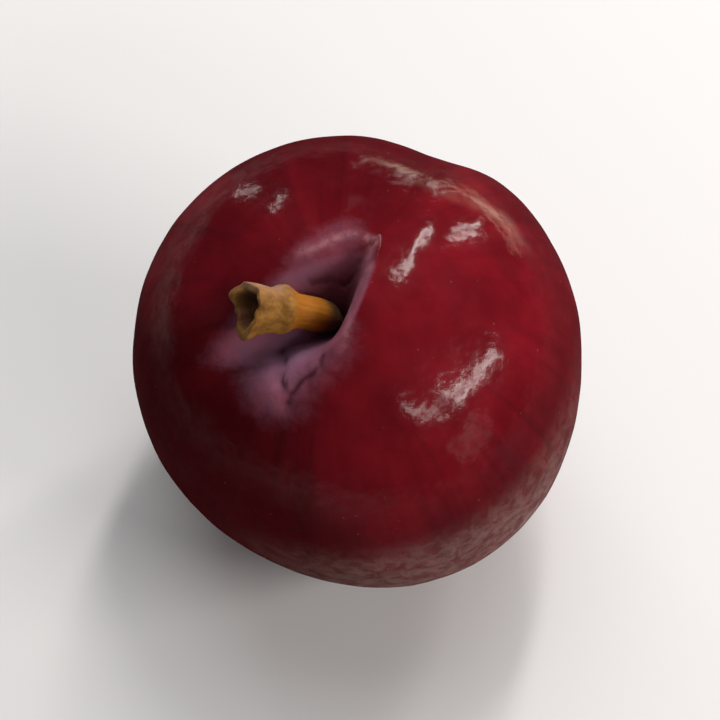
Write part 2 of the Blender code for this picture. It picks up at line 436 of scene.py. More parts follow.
def across_suture(polar, azimuth):
    """Distance over the skin from the suture's line."""
    return RADIUS * np.sin(polar) * turned(azimuth, 0.0)


def suture_depth(polar, azimuth):
    below = eased((polar - SUTURE_SHALLOWS_FROM) / SUTURE_SHALLOWS_OVER)
    depth = SUTURE_DEPTH_AT_SHOULDER + (SUTURE_DEPTH_BELOW - SUTURE_DEPTH_AT_SHOULDER) * below
    return depth * eased(polar / SUTURE_FADES_IN) * bell(across_suture(polar, azimuth), SUTURE_WIDTH)


def blossom_end(polar):
    """A shallow dent with a small point in its middle."""
    distance = RADIUS * (math.pi - polar)
    return POINT_HEIGHT * bell(distance, POINT_RADIUS) - DENT_DEPTH * bell(distance, DENT_RADIUS)


def over_skin(polar, azimuth):
    """Distances over the skin from the stem's axis: towards the suture, and square to that."""
    return RADIUS * polar * np.cos(azimuth), RADIUS * polar * np.sin(azimuth)


def fruit_radius(polar, azimuth):
    along, aside = over_skin(polar, azimuth)
    raised = cheek_height(along, aside) + blossom_end(polar)
    sunk = PIT_DEPTH * pit_share(along, aside) + suture_depth(polar, azimuth)
    return body_radius(polar, azimuth) + raised - sunk


def leaned(direction, lean):
    """Directions turned about the fruit's Y, so that its underside swings away from the suture."""
    x, y, z = np.moveaxis(direction, -1, 0)
    return np.stack([x * np.cos(lean) + z * np.sin(lean), y, z * np.cos(lean) - x * np.sin(lean)], -1)


def polar_of(direction):
    """Polar angle and azimuth of each direction."""
    polar = np.arccos(np.clip(direction[..., 2], -1, 1))
    return polar, np.arctan2(direction[..., 1], direction[..., 0])


DOWN = leaned(np.array([0.0, 0.0, -1.0]), LEAN)
MIDDLE_HEIGHT = float(fruit_radius(*polar_of(DOWN))) - PRESSED_DEPTH


def to_floor():
    """From the fruit's own frame to where it lies on the floor."""
    lying = Matrix.Rotation(-LEAN, 4, "Y")
    way_round = Matrix.Rotation(SUTURE_AZIMUTH, 4, "Z")
    return Matrix.Translation((0, 0, MIDDLE_HEIGHT)) @ way_round @ lying


def placed(points):
    """Points of the fruit's own frame, where they lie on the floor."""
    matrix = np.array(to_floor())
    return points @ matrix[:3, :3].T + matrix[:3, 3]


def pressed(radius, downwards):
    """The radius where the surface below flattens the skin."""
    to_surface = MIDDLE_HEIGHT / np.maximum(downwards, PRESSED_FROM)
    blend = np.clip(0.5 + 0.5 * (radius - to_surface) / PRESSED_ROUNDING, 0, 1)
    rounded = radius + (to_surface - radius) * blend - PRESSED_ROUNDING * blend * (1 - blend)
    return np.where(downwards > PRESSED_FROM, rounded, radius)


def ring_angles():
    """Polar angles of the rings, evenly spaced along the skin but closer together in the pit."""
    polar = np.linspace(0, math.pi, PROFILE_POINTS)
    radius = fruit_radius(polar, np.full_like(polar, STEM_SIDE))
    length = np.hypot(np.diff(radius), radius[1:] * np.diff(polar))
    crowding = 1 + (PIT_CROWDING - 1) * (1 - eased(polar[1:] / PIT_ANGLE - PIT_CROWDING_ENDS))
    effort = np.concatenate([[0.0], np.cumsum(length * crowding)])
    return np.interp(effort[-1] * np.arange(1, RINGS) / RINGS, effort, polar)


def column_angles():
    """Angles round the stem's axis, closer together along the suture's line."""
    even = 2 * math.pi * np.arange(COLUMNS) / COLUMNS
    return even - COLUMN_CROWDING * np.sin(2 * even) / 2


def noise_over(points, size):
    """Smooth noise from about -1 to 1 at each point, with swells of that size."""
    flat = points.reshape(-1, 3) / size
    return np.array([noise.noise(Vector(point)) for point in flat]).reshape(points.shape[:-1])


def line_share(along, aside, line):
    """The distance to a line of points in millimetres, and their third number where it is nearest."""
    nearest = np.full(along.shape, np.inf)
    carried = np.zeros_like(nearest)
    for here, there in zip(line, line[1:]):
        start = np.array(here[:2]) * MM
        step = np.array(there[:2]) * MM - start
        share = ((along - start[0]) * step[0] + (aside - start[1]) * step[1]) / (step @ step)
        share = np.clip(share, 0, 1)
        distance = np.hypot(along - start[0] - share * step[0], aside - start[1] - share * step[1])
        if len(here) > 2:
            carried = np.where(distance < nearest, here[2] + share * (there[2] - here[2]), carried)
        nearest = np.minimum(distance, nearest)
    return nearest, carried


def wavered(along, aside, amount):
    """Plan coordinates shifted by up to that amount, so that a line drawn with them wavers."""
    plan = np.stack([along, aside, np.zeros_like(along)], -1)
    shift_along = amount * noise_over(plan, WAVE_SIZE)
    shift_aside = amount * noise_over(plan + SECOND_NOISE, WAVE_SIZE)
    return along + shift_along, aside + shift_aside


def crease_share(along, aside):
    """How far into a crease, from 0 beside it to 1 at its bottom."""
    bent_along, bent_aside = wavered(along, aside, CREASE_WAVERS)
    plan = np.stack([along, aside, np.zeros_like(along)], -1)
    patches = noise_over(plan + THIRD_NOISE, CREASE_PATCHES)
    uneven = eased(CREASE_EVENNESS + CREASE_UNEVENNESS * patches)
    deepest = np.zeros_like(along)
    for line in CREASES:
        distance, _ = line_share(bent_along, bent_aside, line)
        deepest = np.maximum(deepest, bell(distance, CREASE_WIDTH))
    return deepest * uneven


def skin_relief(points, polar, azimuth):
    """Low swells that break up the gloss, and the folds and creases of the pit."""
    relief = sum(height * noise_over(points, size) for height, size in SWELLS)
    along, aside = over_skin(polar, azimuth)
    to_folds = [line_share(along, aside, line)[0] for line in FOLDS]
    folds = FOLD_DEPTH * bell(np.minimum(*to_folds), FOLD_WIDTH)
    return relief - CREASE_DEPTH * crease_share(along, aside) - folds


def fruit_points(ring, column):
    """Places, polar angles and azimuths of the fine mesh, for those ring and column angles."""
    lean = LEAN * eased((ring - LEAN_STARTS) / (math.pi - LEAN_STARTS))
    level = np.stack([np.sin(ring) * np.cos(column), np.sin(ring) * np.sin(column), np.cos(ring)], -1)
    direction = leaned(level, lean)
    polar, azimuth = polar_of(direction)
    radius = fruit_radius(polar, azimuth)
    radius = radius + skin_relief(direction * radius[..., None], polar, azimuth)
    radius = pressed(radius, direction @ DOWN)
    return placed(direction * radius[..., None]), polar, azimuth


# Marks on the skin

def facing(polar, azimuth, to_polar, to_azimuth):
    """1 straight towards that place on the fruit, and -1 on the far side from it."""
    level = np.sin(polar) * math.sin(to_polar) * np.cos(azimuth - to_azimuth)
    return np.cos(polar) * math.cos(to_polar) + level


def painted_shade_share(polar, azimuth):
    """Painted shade: 0 on the bright cheek, rising to 1 on the side that faces away from it."""
    to_cheek = facing(polar, azimuth, CHEEK_POLAR, CHEEK_AZIMUTH)
    to_shaded_shoulder = facing(polar, azimuth, SHADED_SHOULDER_POLAR, SHADED_SHOULDER_AZIMUTH)
    to_lit = facing(polar, azimuth, LIT_SHOULDER_POLAR, LIT_SHOULDER_AZIMUTH)
    away = eased((AWAY_FROM - to_cheek) / AWAY_OVER)
    shoulder = SHADED_SHOULDER_AMOUNT * eased((to_shaded_shoulder - SHADED_SHOULDER_FROM) / SHADED_SHOULDER_OVER)
    lit = LIT_SHOULDER_AMOUNT * eased((to_lit - LIT_SHOULDER_FROM) / LIT_SHOULDER_OVER)
    flank = FLANK_SHADE_AMOUNT * eased((polar - FLANK_SHADE_FROM) / FLANK_SHADE_OVER)
    return np.maximum(np.maximum(away, shoulder) * (1 - lit), flank)


def film_sheen_share(polar, azimuth):
    """How thick the greyish film and its painted reflection are, low on the cheek's side and along the
    far shoulder.
    """
    faded = eased((polar - FILM_FADES_FROM) / FILM_FADES_OVER)
    low = eased((polar - FILM_FROM) / FILM_OVER) * (1 - faded)
    low = low * bell(turned(azimuth, FILM_AZIMUTH), FILM_LENGTH)
    along, aside = over_skin(polar, azimuth)
    from_line, thick = line_share(*wavered(along, aside, PIT_RIM_WAVERS), SHOULDER_FILM_SHEEN)
    return np.maximum(low, SHOULDER_FILM_SHEEN_AMOUNT * thick * bell(from_line, SHOULDER_FILM_SHEEN_WIDTH))


def bloom_share(along, aside):
    """How much powdery bloom is left: 1 in the pit, less past its near end and far rim, 0 outside."""
    in_pit = pit_share(along, aside, 1.0, PIT_BLOOM_ON_STEEP_WALL)
    bloom = eased((in_pit - PIT_BLOOM_FROM) / PIT_BLOOM_OVER)
    lines = ((BLOOM_LINE, BLOOM_LINE_AMOUNT), (BLOOM_AT_FAR_RIM, BLOOM_AT_FAR_RIM_AMOUNT))
    for line, amount in lines:
        distance, reach = line_share(along, aside, line)
        faded = eased((distance / (reach * MM) - BLOOM_FADES_FROM) / BLOOM_FADES_OVER)
        bloom = np.maximum(bloom, amount * (1 - faded))
    return bloom


# Meshes

def tube_faces(count, sides):
    """Corners of a tube's faces, where the first vertex is one end and the last is the other."""
    side = np.arange(sides)
    after = (side + 1) % sides
    start = 1 + sides * np.arange(count - 1)[:, None]
    quads = np.stack([start + side, start + sides + side, start + sides + after, start + after], -1)
    end = 1 + sides * count
    bottom = end - sides
    caps = [(0, 1 + a, 1 + b) for a, b in zip(side, after)]
    caps += [(end, bottom + b, bottom + a) for a, b in zip(side, after)]
    return [tuple(face) for face in quads.reshape(-1, 4).tolist()] + caps


def tube_map(count, sides):
    """Place on the map of each face's corners: round the tube across, and along it upwards."""
    side = np.arange(sides)
    u = np.stack([side, side, side + 1, side + 1], -1) / sides
    v = (np.arange(count - 1)[:, None] + np.array([1, 2, 2, 1])) / (count + 1)
    quads = np.stack(np.broadcast_arrays(u[None], v[:, None]), -1).reshape(-1, 2)
    low = 1 / (count + 1)
    high = count / (count + 1)
    caps = [corner for a in side for corner in ((a + 0.5, 0), (a, low), (a + 1, low))]
    caps += [corner for a in side for corner in ((a + 0.5, 1), (a + 1, high), (a, high))]
    return np.concatenate([quads, np.array(caps) / (sides, 1)])


def tube_mesh(name, rings, first, last):
    """A closed mesh from rings of points and a point at each end, with a map named OFBake."""
    count, sides, _ = rings.shape
    verts = np.concatenate([[first], rings.reshape(-1, 3), [last]])
    mesh = bpy.data.meshes.new(name)
    mesh.from_pydata(verts.tolist(), [], tube_faces(count, sides))
    layer = mesh.uv_layers.new(name="OFBake")
    layer.uv.foreach_set("vector", tube_map(count, sides).astype(np.float32).ravel())
    mesh.shade_smooth()
    obj = bpy.data.objects.new(name, mesh)
    bpy.context.scene.collection.objects.link(obj)
    return obj


def add_values(obj, name, rings, first, last):
    """Stores a number or a vector at each vertex of a tube mesh, for its material."""
    is_vector = rings.ndim == 3
    kind = "FLOAT_VECTOR" if is_vector else "FLOAT"
    field = "vector" if is_vector else "value"
    flat = np.concatenate([np.ravel(first), rings.reshape(-1), np.ravel(last)]).astype(np.float32)
    attribute = obj.data.attributes.new(name, kind, "POINT")
    attribute.data.foreach_set(field, flat)


def add_skin_values(fruit, polar, azimuth):
    """Stores how much of each mark and of each painted shade, highlight and reflection there is at every
    vertex of the skin.
    """
    along, aside = over_skin(polar, azimuth)
    bloom = bloom_share(along, aside)
    dark = painted_shade_share(polar, azimuth)
    dull = bell(np.hypot(along - DULL_ALONG, aside - DULL_ASIDE), DULL_REACH)
    from_rim, thick = line_share(*wavered(along, aside, PIT_RIM_WAVERS), PIT_RIM)
    deep = eased((pit_share(along, aside) - PIT_SHADE_FROM) / PIT_SHADE_OVER)
    lit_blue = bell(np.hypot(along - BLUE_ALONG, aside - BLUE_ASIDE), BLUE_REACH)
    meridian = np.stack([np.cos(azimuth), np.sin(azimuth), polar / math.pi], -1)
    seam = bell(across_suture(polar, azimuth), SEAM_WIDTH) * eased(polar / SUTURE_FADES_IN)
    add_values(fruit, "bloom", bloom, bloom[0].mean(), 0.0)
    add_values(fruit, "crease", crease_share(along, aside), 0.0, 0.0)
    # Painted shade on the side away from the bright cheek.
    add_values(fruit, "painted_shade", dark, dark[0].mean(), dark[-1].mean())
    add_values(fruit, "dull", dull, 0.0, 0.0)
    add_values(fruit, "pit_rim", thick * bell(from_rim, PIT_RIM_WIDTH), 0.0, 0.0)
    # Painted shade at the bottom of the pit.
    add_values(fruit, "deep", deep, 1.0, 0.0)
    add_values(fruit, "lit_blue", lit_blue, 0.0, 0.0)
    # Greyish film, partly a painted reflection of the floor and horizon.
    add_values(fruit, "film", film_sheen_share(polar, azimuth), 0.0, 0.0)
    add_values(fruit, "meridian", meridian, (0, 0, 0), (0, 0, 1))
    add_values(fruit, "seam", seam, 0.0, 0.0)


def make_fruit():
    ring, column = np.meshgrid(ring_angles(), column_angles(), indexing="ij")
    rings, polar, azimuth = fruit_points(ring, column)
    ends = [fruit_points(np.array([angle]), np.zeros(1))[0][0] for angle in (0.0, math.pi)]
    fruit = tube_mesh("plum_fruit", rings, *ends)
    add_skin_values(fruit, polar, azimuth)
    return fruit


# Stem

def stem_path(share):
    """Points of the stem's centre line in the fruit's own frame, and the way that it runs there."""
    side = np.array([math.cos(STEM_SIDE), math.sin(STEM_SIDE), 0])
    up = np.array([0.0, 0.0, 1.0])
    floor = float(fruit_radius(np.array(0.0), np.array(0.0)))
    root = np.array([ROOT_ALONG, ROOT_ASIDE, floor + ROOT_GAP])
    tip = root + side * STEM_REACH + up * STEM_RISE
    arch = root + side * (ARCH_REACH * STEM_REACH) + up * (ARCH_RISE * STEM_RISE)
    t = share[:, None]
    point = root * (1 - t) ** 2 + arch * (2 * t * (1 - t)) + tip * t**2
    way = (arch - root) * (1 - t) + (tip - arch) * t
    return point, way / np.linalg.norm(way, axis=1, keepdims=True)


def stem_radius(share):
    """Smooth radius: a root that widens, a swollen joint and a flare to the free end."""
    shaft = ROOT_RADIUS + (SHAFT_RADIUS - ROOT_RADIUS) * eased(share / ROOT_WIDENS_BY)
    joint = JOINT_SWELL * bell(share - JOINT_AT, JOINT_SPREAD)
    flare = FLARE_SWELL * eased((share - FLARE_FROM) / (1 - FLARE_FROM))
    return shaft + joint + flare


def round_noise(angle, share, times, stretch, seed):
    """Noise round and along the stem, which meets itself at the full turn."""
    angle, share = np.broadcast_arrays(angle, share)
    spots = np.stack([np.cos(angle) * times, np.sin(angle) * times, share * stretch + seed], -1)
    return noise_over(spots, 1.0)


def stem_angles():
    return 2 * math.pi * np.arange(STEM_SIDES)[None] / STEM_SIDES


def stem_axes(share):
    """Centres of the stem's rings, the way that it runs there, and two directions across each ring."""
    point, way = stem_path(share)
    up = np.array([0.0, 0.0, 1.0])
    across = np.cross(way, up)
    across /= np.linalg.norm(across, axis=1, keepdims=True)
    level = (1 - bell(share, ROOT_LEVEL_FOR))[:, None]
    way_here = up * (1 - level) + way * level
    over = np.cross(across, way_here / np.linalg.norm(way_here, axis=1, keepdims=True))
    return point, way, across, over


def rim_forms(angle):
    """How near each angle is to the rim's spur, to its tip and to its worn far side."""
    spur = bell(turned(angle, SPUR_ANGLE), SPUR_SPREAD)
    tip = bell(turned(angle, TIP_ANGLE), TIP_SPREAD)
    far = bell(turned(angle, FAR_RIM_ANGLE), FAR_RIM_SPREAD)
    return spur, tip, far


def bark_radius(share, cup, angle, flared):
    """Distances from the centre line, with lobes, torn rim, fibres and lumps, drawn in inside the cup."""
    spur, tip, far = rim_forms(angle)
    lobes = lobed(angle, STEM_LOBES) + flared * (lobed(angle, RIM_LOBES) - 1)
    rim = SPUR_OUTWARD * spur + TIP_OUTWARD * tip - FAR_RIM_INWARD * far
    fibres = FIBRES_HEIGHT * round_noise(angle, share, *FIBRES)
    fibres = fibres + FINE_FIBRES_HEIGHT * round_noise(angle, share, *FINE_FIBRES)
    lumps = LUMPS_HEIGHT * round_noise(angle, share, *LUMPS)
    lumps = lumps + FINE_LUMPS_HEIGHT * round_noise(angle, share, *FINE_LUMPS)
    knobbly = eased((share - LUMPS_FROM) / LUMPS_OVER)
    radius = stem_radius(share) * lobes + flared**RIM_POWER * rim
    return (radius + fibres + knobbly * lumps) * (1 - CUP_RADIUS_SHARE * cup)


def rim_forward(cup, angle, flared):
    """How far each point stands forward along the stem: its slanting, torn rim and the hollow."""
    spur, _, far = rim_forms(angle)
    slant = -flared * OBLIQUE * np.sin(angle) * (1 - SLANT_LEVELS_BY * cup)
    torn = TORN_HEIGHT * round_noise(angle, np.zeros_like(cup), *TORN)
    torn = flared**TORN_POWER * (torn + SPUR_FORWARD * spur - FAR_RIM_BACK * far)
    sunk = CUP_DEPTH * eased((cup - CUP_SINKS_FROM) / CUP_SINKS_OVER)
    grain = CUP_ROUGHNESS * round_noise(angle, cup, *CUP_GRAIN) * eased(cup * CUP_GRAIN_GROWS_BY)
    return slant + torn * (1 - eased(cup * TORN_FADES_BY)) - sunk + grain


def stem_rings(share, inwards):
    """Rings of points at shares of the length, and at inward shares into the cup of the broken end."""
    point, way, across, over = stem_axes(share)
    angle = stem_angles()
    cup = inwards[:, None]
    flared = eased((share - FLARE_FROM) / (1 - FLARE_FROM))[:, None]
    radius = bark_radius(share[:, None], cup, angle, flared)
    forward = rim_forward(cup, angle, flared)
    outward = across[:, None] * np.cos(angle)[..., None] + over[:, None] * np.sin(angle)[..., None]
    return point[:, None] + outward * radius[..., None] + way[:, None] * forward[..., None]


def sunk_root(first_ring):
    """Rings that carry the stem on down into the bottom of the pit, spreading a little."""
    sinking = np.linspace(1, 0, ROOT_RINGS, endpoint=False)[:, None, None]
    middle = first_ring.mean(axis=0)
    spread = 1 + ROOT_SPREADS_BY * sinking
    return middle + (first_ring - middle) * spread - np.array([0, 0, ROOT_SINKS]) * sinking


def add_bark_values(stem, share, inwards):
    """Stores each vertex's place along, round and inside the stem, where the bark is marked, and where
    its far rim has painted shade.
    """
    shares = np.concatenate([np.zeros(ROOT_RINGS), share, np.ones(CUP_RINGS)])[:, None]
    inside = np.concatenate([np.zeros(ROOT_RINGS + STEM_RINGS), inwards])[:, None]
    angle = stem_angles()
    sides = np.ones_like(angle)
    _, _, far = rim_forms(angle)
    # Painted shade on the rim's far side.
    dim = far * eased((shares - FAR_RIM_SHADE_FROM) / FAR_RIM_SHADE_OVER)
    flaky = bell(turned(angle, FLAKES_ANGLE), FLAKES_SPREAD) * (inside < FLAKES_WITHIN)
    flaky = flaky * eased((shares - FLAKES_FROM) / FLAKES_OVER)
    fibre = np.stack(np.broadcast_arrays(np.cos(angle), np.sin(angle), shares), -1)
    add_values(stem, "share", shares * sides, 0.0, 1.0)
    add_values(stem, "cup", inside * sides, 0.0, 1.0)
    add_values(stem, "far_rim_shade", dim, 0.0, 0.0)
    add_values(stem, "flaky", flaky, 0.0, 0.0)
    add_values(stem, "fibre", fibre, (0, 0, 0), (0, 0, 1))


def make_stem():
    share = np.linspace(0, 1, STEM_RINGS)
    inwards = np.linspace(0, 1, CUP_RINGS + 1)[1:]
    shaft = stem_rings(share, np.zeros(STEM_RINGS))
    root = sunk_root(shaft[0])
    cup = stem_rings(np.ones(CUP_RINGS), inwards)
    ends = [placed(ring.mean(axis=0)) for ring in (root[0], cup[-1])]
    stem = tube_mesh("plum_stem", placed(np.concatenate([root, shaft, cup])), *ends)
    add_bark_values(stem, share, inwards)
    return stem


# Materials

class Graph:
    """The nodes of one material, added a call at a time."""

    def __init__(self, name):
        self.material = bpy.data.materials.new(name)
        self.material.use_nodes = True
        self.tree = self.material.node_tree
        self.shader = self.tree.nodes["Principled BSDF"]
        self.place = self.add("ShaderNodeTexCoord").outputs["Object"]

    def add(self, kind, **settings):
        node = self.tree.nodes.new(kind)
        for key, value in settings.items():
            setattr(node, key, value)
        return node

    def feed(self, socket, value):
        """Links a socket to another's output, or sets it to a value."""
        if isinstance(value, bpy.types.NodeSocket):
            self.tree.links.new(value, socket)
        else:
            socket.default_value = value

    def value(self, name, vector=False):
        """What the mesh stores under that name."""
        node = self.add("ShaderNodeAttribute", attribute_name=name)
        return node.outputs["Vector" if vector else "Fac"]

    def stretched(self, name, scale):
        """A vector that the mesh stores, with each of its parts scaled."""
        node = self.add("ShaderNodeMapping")
        self.feed(node.inputs["Vector"], self.value(name, vector=True))
        self.feed(node.inputs["Scale"], scale)
        return node.outputs["Vector"]

    def noise(self, size, detail, rough, distortion=0.0, where=None):
        """Noise from 0 to 1, with features of that size in metres."""
        node = self.add("ShaderNodeTexNoise")
        self.feed(node.inputs["Vector"], where or self.place)
        self.feed(node.inputs["Scale"], 1 / size)
        self.feed(node.inputs["Detail"], detail)
        self.feed(node.inputs["Roughness"], rough)
        self.feed(node.inputs["Distortion"], distortion)
        return node.outputs["Fac"]

    def swing(self, noise, amount):
        """Noise moved so that it swings about zero, over that amount in all."""
        return self.times(self.calculate("SUBTRACT", noise, 0.5), amount)

    def smooth(self, value, low, high, to_low=0.0, to_high=1.0):
        """An eased change from one number to another while the value goes from low to high."""
        node = self.add("ShaderNodeMapRange", interpolation_type="SMOOTHSTEP")
        self.feed(node.inputs["Value"], value)
        self.feed(node.inputs["From Min"], low)
        self.feed(node.inputs["From Max"], high)
        self.feed(node.inputs["To Min"], to_low)
        self.feed(node.inputs["To Max"], to_high)
        return node.outputs["Result"]

    def calculate(self, operation, a, b):
        node = self.add("ShaderNodeMath", operation=operation)
        self.feed(node.inputs[0], a)
        self.feed(node.inputs[1], b)
        return node.outputs[0]

    def times(self, a, b):
        return self.calculate("MULTIPLY", a, b)

    def mix(self, factor, a, b):
        """Colour a where the factor is 0, b where it is 1."""
        node = self.add("ShaderNodeMix", data_type="RGBA")
        self.feed(node.inputs["Factor"], factor)
        self.feed(node.inputs["A"], self.colour(a))
        self.feed(node.inputs["B"], self.colour(b))
        return node.outputs["Result"]

    @staticmethod
    def colour(value):
        return (*value, 1.0) if isinstance(value, tuple) and len(value) == 3 else value

    def bump(self, height, distance, after=None):
        """Fine relief of that height, on top of another if one is given."""
        node = self.add("ShaderNodeBump")
        self.feed(node.inputs["Height"], height)
        self.feed(node.inputs["Distance"], distance)
        if after is not None:
            self.feed(node.inputs["Normal"], after)
        return node.outputs["Normal"]

    def set(self, **inputs):
        """Sets or links the shader's inputs, named with underscores for spaces."""
        for name, value in inputs.items():
            self.feed(self.shader.inputs[name.replace("_", " ")], self.colour(value))


# Patterns of the skin, each a noise: size of its features, detail, roughness and distortion.
SKIN_PATCHES = (8 * MM, 3.0, 0.6)
STREAKS = (1.0, 3.0, 0.55, 0.9)
STREAKS_SCALE = (9.0, 9.0, 2.2)
MOTTLES = (1.3 * MM, 4.0, 0.68)
RUBBED = (1.7 * MM, 6.0, 0.70, 0.4)
POWDER_PATCHES = (3.0 * MM, 2.0, 0.55)
TRACES = (7 * MM, 5.0, 0.62, 0.3)
RIM_PATCHES = (1.1 * MM, 5.0, 0.72)
FILM_PATCHES = (1.6 * MM, 6.0, 0.70, 0.4)
GLOSS_PATCHES = (1.5 * MM, 5.0, 0.70)
ROUGH_PATCHES = (2.2 * MM, 4.0, 0.6)
SOFT_SWELL = (1.5 * MM, 1.0, 0.5)
SKIN_GRAIN = (0.8 * MM, 3.0, 0.6)
POWDER_GRAIN = (0.45 * MM, 4.0, 0.7)
SOFT_SWELL_HEIGHT = 0.055 * MM
SKIN_GRAIN_HEIGHT = 0.018 * MM
POWDER_GRAIN_HEIGHT = 0.04 * MM

# Ranges of the skin: where each thing starts and is full, and how little and how much it then does.
PATCHES_RANGE = (0.34, 0.68)
STREAKS_RANGE = (0.46, 0.76, 0.0, 0.34)
STREAKS_FROM_STEM = (0.10, 0.32)
PAINTED_SHADE_RANGE = (0.0, 1.0, 0.0, 0.80)
MOTTLES_RANGE = (0.48, 0.80, 0.0, 0.30)
PORE_SIZES = (0.2, 1.0, 0.03, 0.10)
PORE_EDGE = (1.0, 0.5)
BLOOM_RANGE = (0.06, 1.02)
POWDER_RANGE = (0.42, 0.62)
TRACES_RANGE = (0.48, 0.80, 0.0, 0.045)
RIM_RANGE = (0.34, 0.60, 0.12, 0.62)
FILM_PATCHES_RANGE = (0.34, 0.66, 0.30, 1.0)
FILM_RANGE = (0.05, 0.95)
ROUGH_RANGE = (0.3, 0.75, 0.40, 0.58)

# Strength of the coat, by the bloom, the distance from the stem, the dull spot and the painted shade's
# mask.
COAT_BY_BLOOM = (0.0, 0.7, COAT_WEIGHT, COAT_UNDER_BLOOM)
COAT_PATCHES_RANGE = (0.34, 0.62)
COAT_WEAKEST = (0.26, 0.40, 0.42, 0.70)
COAT_WHERE_DULL = (0.0, 0.7, 1.0, 0.04)
COAT_ON_PAINTED_SHADE = (0.45, 1.0, 1.0, 0.45)
COAT_FROM_STEM = (0.25, 0.34, 1.0, 0.25)

# How much each thing changes the skin where it is full.
STREAKS_IN_SHADE = 0.6
PORE_AMOUNT = 0.22
RUBBED_AMOUNT = 0.70
BLOOM_AMOUNT = 0.90
LIT_BLUE_AMOUNT = 0.75
PIT_SHADE_AMOUNT = 0.85
SEAM_AMOUNT = 0.22
CREASE_SHADE_AMOUNT = 0.55
SKIN_IOR = 1.35
SKIN_SPECULAR_LEVEL = 0.0


def skin_pigment_and_shade(g, from_stem):
    """Patches of crimson and maroon, dark streaks from the stem to the blossom end, and painted shade
    away from the cheek.
    """
    patches = g.smooth(g.noise(*SKIN_PATCHES), *PATCHES_RANGE)
    colour = g.mix(patches, MAROON, CRIMSON)
    streaks = g.noise(*STREAKS, where=g.stretched("meridian", STREAKS_SCALE))
    away = g.smooth(from_stem, *STREAKS_FROM_STEM)
    colour = g.mix(g.times(g.smooth(streaks, *STREAKS_RANGE), away), colour, WINE)
    # Painted shade: wine on the side away from the bright cheek, broken up by the streaks.
    shaded = g.calculate("ADD", g.value("painted_shade"), g.swing(streaks, STREAKS_IN_SHADE))
    colour = g.mix(g.smooth(shaded, *PAINTED_SHADE_RANGE), colour, WINE)
    return g.mix(g.smooth(g.noise(*MOTTLES), *MOTTLES_RANGE), colour, MAROON)


def with_pores(g, colour):
    """Small pale pores, some of them too small to see."""
    pores = g.add("ShaderNodeTexVoronoi", feature="F1")
    g.feed(pores.inputs["Vector"], g.place)
    g.feed(pores.inputs["Scale"], 1 / PORE_SPACING)
    chance = g.add("ShaderNodeSeparateColor")
    g.feed(chance.inputs["Color"], pores.outputs["Color"])
    size = g.smooth(chance.outputs["Red"], *PORE_SIZES)
    pore = g.smooth(g.calculate("DIVIDE", pores.outputs["Distance"], size), *PORE_EDGE)
    return g.mix(g.times(pore, PORE_AMOUNT), colour, PORE)


def bloom_left(g):
    """How much powdery bloom there is at each place, with a rubbed edge."""
    rubbed = g.swing(g.noise(*RUBBED), RUBBED_AMOUNT)
    return g.smooth(g.calculate("ADD", g.value("bloom"), rubbed), *BLOOM_RANGE)


def with_bloom_and_painted_light(g, colour, bloom):
    """Powder where the bloom is left, thickest on the pit's rim with a painted highlight, painted lighter
    under the stem, and a trace elsewhere.
    """
    powder = g.mix(g.smooth(g.noise(*POWDER_PATCHES), *POWDER_RANGE), POWDER_PINK, POWDER_MAUVE)
    # Bluish bloom, with painted light that lifts the stem's shadow below its free end.
    powder = g.mix(g.times(g.value("lit_blue"), LIT_BLUE_AMOUNT), powder, LIT_POWDER_BLUE)
    trace = g.smooth(g.noise(*TRACES), *TRACES_RANGE)
    colour = g.mix(g.calculate("MAXIMUM", g.times(bloom, BLOOM_AMOUNT), trace), colour, powder)
    # Pale powder on the pit's rim, partly a painted highlight along its crest.
    on_rim = g.smooth(g.noise(*RIM_PATCHES), *RIM_RANGE)
    return g.mix(g.times(g.value("pit_rim"), on_rim), colour, PALE_POWDER_AND_HIGHLIGHT)


def film_sheen_left(g):
    """How much greyish, waxy film with its painted reflection there is at each place, with a patchy edge.
    """
    patchy = g.smooth(g.noise(*FILM_PATCHES), *FILM_PATCHES_RANGE)
    return g.times(g.smooth(g.value("film"), *FILM_RANGE), patchy)


def with_painted_light_and_marks(g, colour, film):
    """Painted shade at the bottom of the pit and in the creases, the greyish film with its painted
    reflection, and the suture's line.
    """
    # Painted shade at the bottom of the pit.
    colour = g.mix(g.times(g.value("deep"), PIT_SHADE_AMOUNT), colour, PIT_BOTTOM_SHADE)
    # Greyish film, partly a painted reflection of the floor and horizon.
    colour = g.mix(g.times(film, FILM_SHEEN_AMOUNT), colour, FILM_SHEEN)
    colour = g.mix(g.times(g.value("seam"), SEAM_AMOUNT), colour, WINE)
    # Painted shade in the creases.
    return g.mix(g.times(g.value("crease"), CREASE_SHADE_AMOUNT), colour, CREASE_SHADE)


def skin_gloss(g, bloom, film, from_stem):
    """Strength of the waxy coat: uneven near the stem, dull under bloom, weaker below except on film."""
    gloss = g.smooth(bloom, *COAT_BY_BLOOM)
    weakest = g.smooth(from_stem, *COAT_WEAKEST)
    gloss = g.times(gloss, g.smooth(g.noise(*GLOSS_PATCHES), *COAT_PATCHES_RANGE, weakest, 1.0))
    gloss = g.times(gloss, g.smooth(g.value("dull"), *COAT_WHERE_DULL))
    gloss = g.times(gloss, g.smooth(g.value("painted_shade"), *COAT_ON_PAINTED_SHADE))
    gloss = g.times(gloss, g.smooth(from_stem, *COAT_FROM_STEM))
    return g.calculate("ADD", gloss, g.times(film, COAT_ON_FILM))


def skin_bump(g, bloom):
    """Relief too fine for the mesh: soft swells, a fine grain, and powder on the bloom."""
    swell = g.bump(g.noise(*SOFT_SWELL), SOFT_SWELL_HEIGHT)
    grain = g.bump(g.noise(*SKIN_GRAIN), SKIN_GRAIN_HEIGHT, swell)
    return g.bump(g.times(g.noise(*POWDER_GRAIN), bloom), POWDER_GRAIN_HEIGHT, grain)


